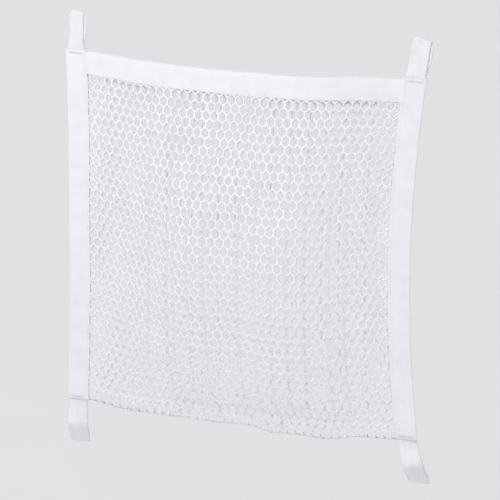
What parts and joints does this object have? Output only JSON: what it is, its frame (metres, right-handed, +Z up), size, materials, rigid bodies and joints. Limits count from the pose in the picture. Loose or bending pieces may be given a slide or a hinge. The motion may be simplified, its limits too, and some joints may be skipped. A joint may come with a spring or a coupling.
{
  "type": "shoe bag",
  "caption": "Flat hanging net pocket for shoes, with taped sides and mouth and a webbing loop at each corner.",
  "frame": {"origin": "midway between the round tips of the two upper loops, on the line that a rail through them would take", "axes": "+X to the right seen from the front, -Y out of the bulging front net, +Z up"},
  "size_m": [0.3774, 0.065, 0.4504],
  "materials": {
    "net": "knitted hexagonal polyester net, matt white",
    "tape": "plain woven polyester tape, soft sheen, white",
    "webbing": "ribbed woven webbing, matt white",
    "thread": "polyester sewing thread, slight gloss, white"
  },
  "bodies": {
    "bag": {"mesh_front": "net", "mesh_back": "net", "side_binding_left": "tape", "side_binding_right": "tape", "hem_front": "tape", "hem_back": "tape", "loop_tail_top_left": "webbing", "loop_tail_top_right": "webbing", "loop_tail_bottom_left": "webbing", "loop_tail_bottom_right": "webbing", "bartack_top_left": "thread", "bartack_top_right": "thread", "bartack_bottom_left": "thread", "bartack_bottom_right": "thread", "binding_stitch_left": "thread", "binding_stitch_right": "thread", "hem_stitch_front": "thread", "hem_stitch_back": "thread", "bottom_seam_stitch": "thread"},
    "loop_top_left": {"loop_top_left": "webbing"},
    "loop_top_right": {"loop_top_right": "webbing"},
    "loop_bottom_left": {"loop_bottom_left": "webbing"},
    "loop_bottom_right": {"loop_bottom_right": "webbing"}
  },
  "joints": [
    {"name": "loop_top_left_swing", "type": "hinge", "parent": "bag", "child": "loop_top_left", "pos_m": [-0.17142, 0, -0.03169], "axis": [0.9997, 0, -0.0262], "range_deg": [-90, 90], "stiffness_Nm_per_rad": 0.003},
    {"name": "loop_top_right_swing", "type": "hinge", "parent": "bag", "child": "loop_top_right", "pos_m": [0.17196, 0, -0.03139], "axis": [0.9903, 0, -0.1392], "range_deg": [-90, 90], "stiffness_Nm_per_rad": 0.003},
    {"name": "loop_bottom_left_swing", "type": "hinge", "parent": "bag", "child": "loop_bottom_left", "pos_m": [-0.17137, 0, -0.39969], "axis": [-0.9997, 0, -0.0262], "range_deg": [-90, 90], "stiffness_Nm_per_rad": 0.003},
    {"name": "loop_bottom_right_swing", "type": "hinge", "parent": "bag", "child": "loop_bottom_right", "pos_m": [0.17303, 0, -0.39969], "axis": [-0.9563, 0, -0.2924], "range_deg": [-90, 90], "stiffness_Nm_per_rad": 0.003}
  ]
}
